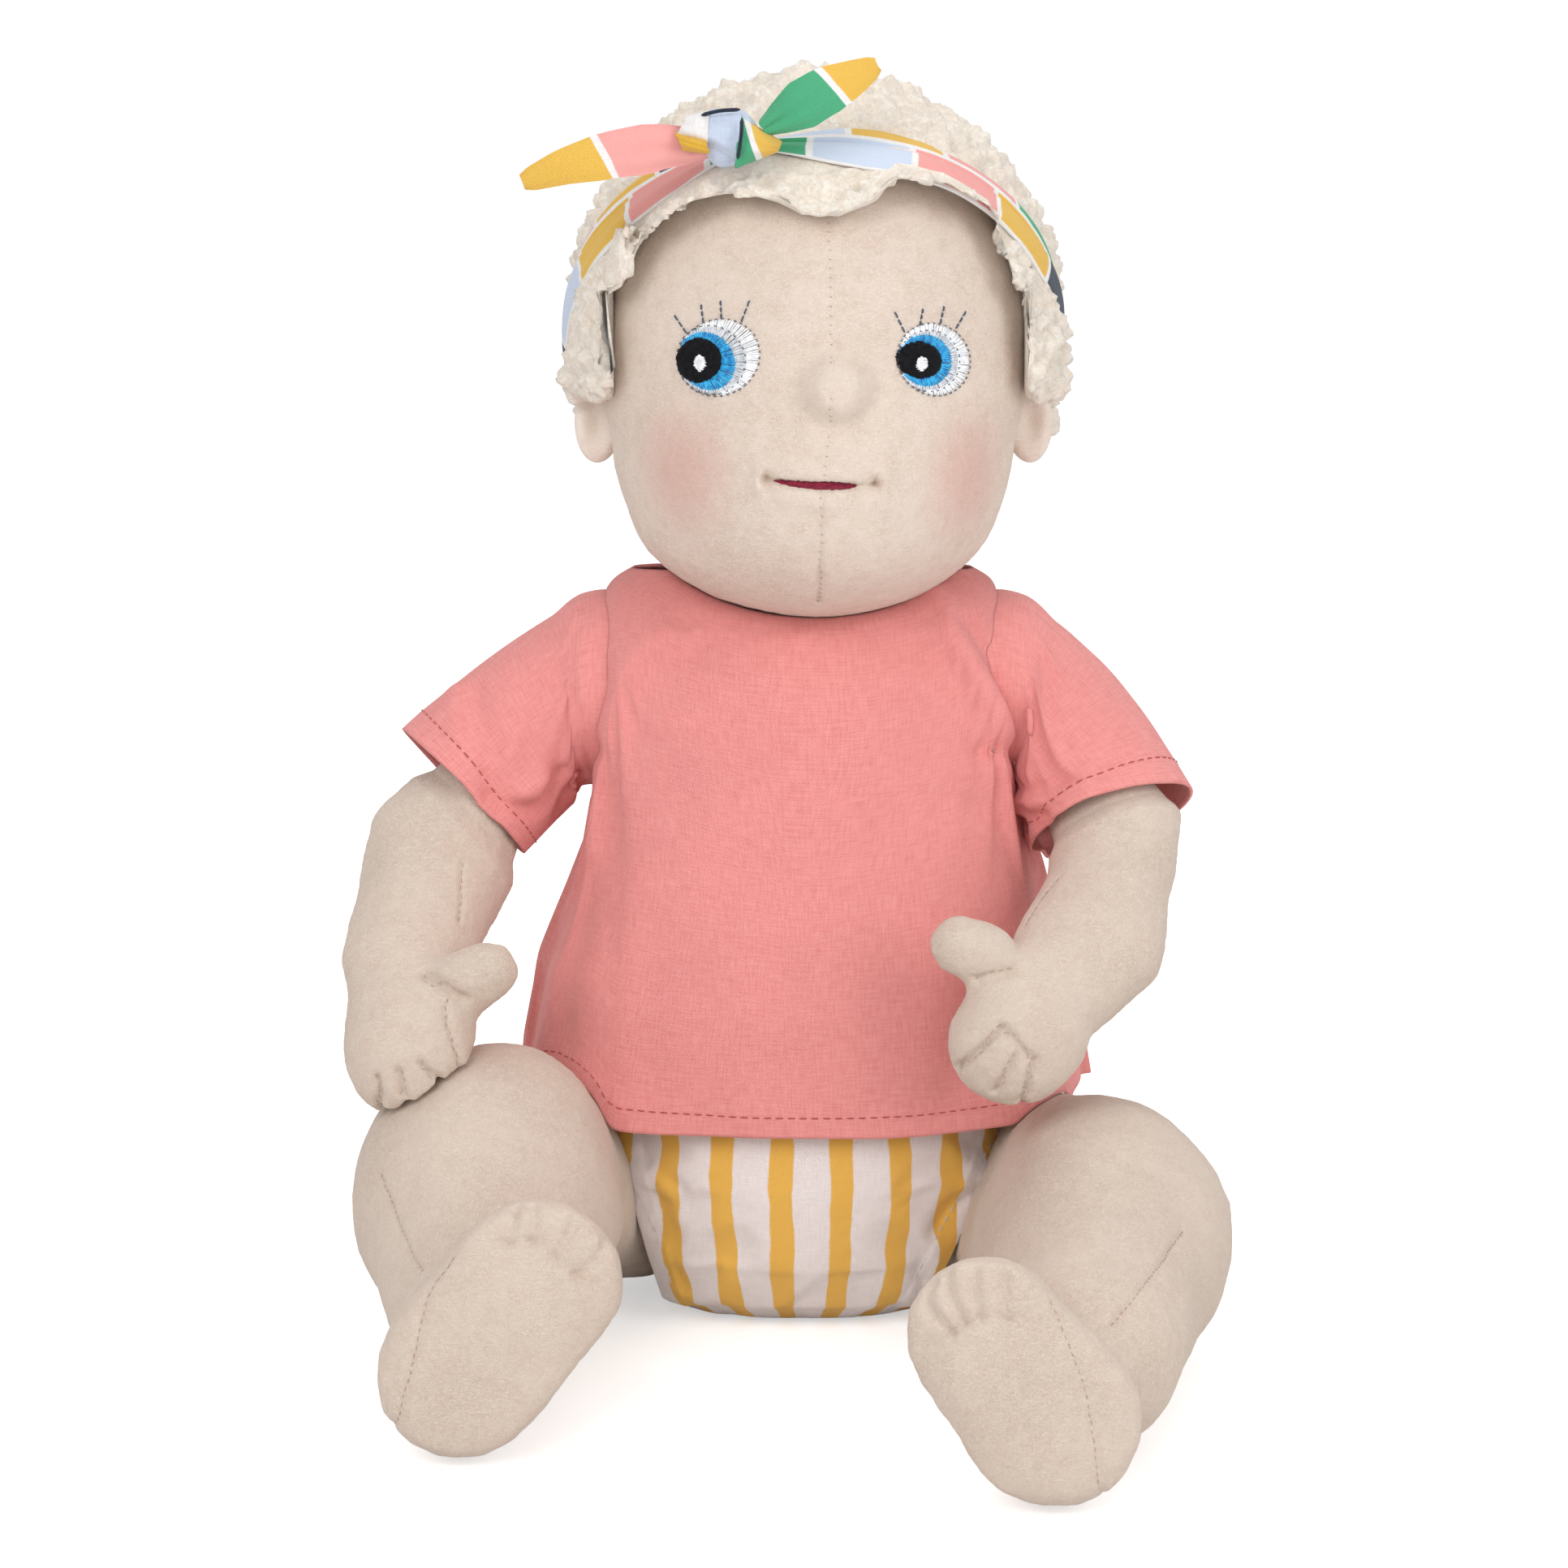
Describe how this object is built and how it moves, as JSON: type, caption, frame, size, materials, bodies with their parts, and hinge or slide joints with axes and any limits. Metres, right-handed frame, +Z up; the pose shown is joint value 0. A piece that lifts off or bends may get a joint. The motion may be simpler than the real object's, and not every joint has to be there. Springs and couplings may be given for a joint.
{
  "type": "baby doll",
  "caption": "Soft sitting baby doll with stuffed felt head, arms and legs that turn, fleece hair, embroidered eyes, a tied headband, a cotton shirt and striped shorts",
  "frame": {"origin": "Centre of the bounding box in X and Y, on the surface the doll sits on", "axes": "+Z up, -Y the way the doll faces, +X the doll's left side"},
  "size_m": [0.2332, 0.2758, 0.3408],
  "materials": {
    "felt": "matte",
    "fleece": "matte",
    "coral_cotton": "matte",
    "striped_cotton": "matte",
    "band_cotton": "matte",
    "white_thread": "matte",
    "blue_thread": "matte",
    "black_thread": "matte",
    "grey_thread": "matte",
    "crimson_felt": "matte",
    "hook_tape": "matte",
    "bag_cotton": "matte"
  },
  "bodies": {
    "torso": {"torso_front": "felt", "torso_back": "felt", "pellet_bag": "bag_cotton", "shorts_front": "striped_cotton", "shorts_back": "striped_cotton", "shorts_waistband": "striped_cotton", "shirt_front": "coral_cotton", "shirt_back_right": "coral_cotton", "shirt_back_left": "coral_cotton", "closure_hooks": "hook_tape", "closure_loops": "hook_tape", "shirt_placket": "coral_cotton"},
    "neck": {"neck": "felt"},
    "head": {"head": "felt", "mouth_lining": "crimson_felt", "right_ear": "felt", "left_ear": "felt", "hair": "fleece", "right_lashes": "grey_thread", "right_eye_white": "white_thread", "right_iris": "blue_thread", "right_pupil": "black_thread", "right_glint": "white_thread", "left_lashes": "grey_thread", "left_eye_white": "white_thread", "left_iris": "blue_thread", "left_pupil": "black_thread", "left_glint": "white_thread"},
    "headband": {"headband_band": "band_cotton", "headband_knot": "band_cotton", "headband_right_tail": "band_cotton", "headband_left_tail": "band_cotton"},
    "right_arm": {"right_arm": "felt", "right_sleeve": "coral_cotton"},
    "left_arm": {"left_arm": "felt", "left_sleeve": "coral_cotton"},
    "right_leg": {"right_leg": "felt", "right_sole": "felt"},
    "left_leg": {"left_leg": "felt", "left_sole": "felt"}
  },
  "joints": [
    {"name": "neck_turn", "type": "hinge", "parent": "torso", "child": "neck", "pos_m": [0.00653, 0.0671, 0.18415], "axis": [0, 0, 1], "range_deg": [-30, 30]},
    {"name": "head_nod", "type": "hinge", "parent": "neck", "child": "head", "pos_m": [0.00653, 0.0671, 0.1843], "axis": [1, 0, 0], "range_deg": [-10, 3]},
    {"name": "headband_lift", "type": "slide", "parent": "head", "child": "headband", "axis": [0, 0.7431, 0.6691], "range_m": [0, 0.1]},
    {"name": "right_shoulder", "type": "hinge", "parent": "torso", "child": "right_arm", "pos_m": [-0.04147, 0.0651, 0.167], "axis": [-1, 0, 0], "range_deg": [0, 120]},
    {"name": "left_shoulder", "type": "hinge", "parent": "torso", "child": "left_arm", "pos_m": [0.04853, 0.0651, 0.167], "axis": [-1, 0, 0], "range_deg": [0, 60]},
    {"name": "right_hip", "type": "hinge", "parent": "torso", "child": "right_leg", "pos_m": [-0.04147, 0.0571, 0.033], "axis": [0.9627, 0, 0.2707], "range_deg": [0, 37]},
    {"name": "left_hip", "type": "hinge", "parent": "torso", "child": "left_leg", "pos_m": [0.04853, 0.0571, 0.032], "axis": [0.9062, 0, -0.4229], "range_deg": [0, 37]}
  ]
}
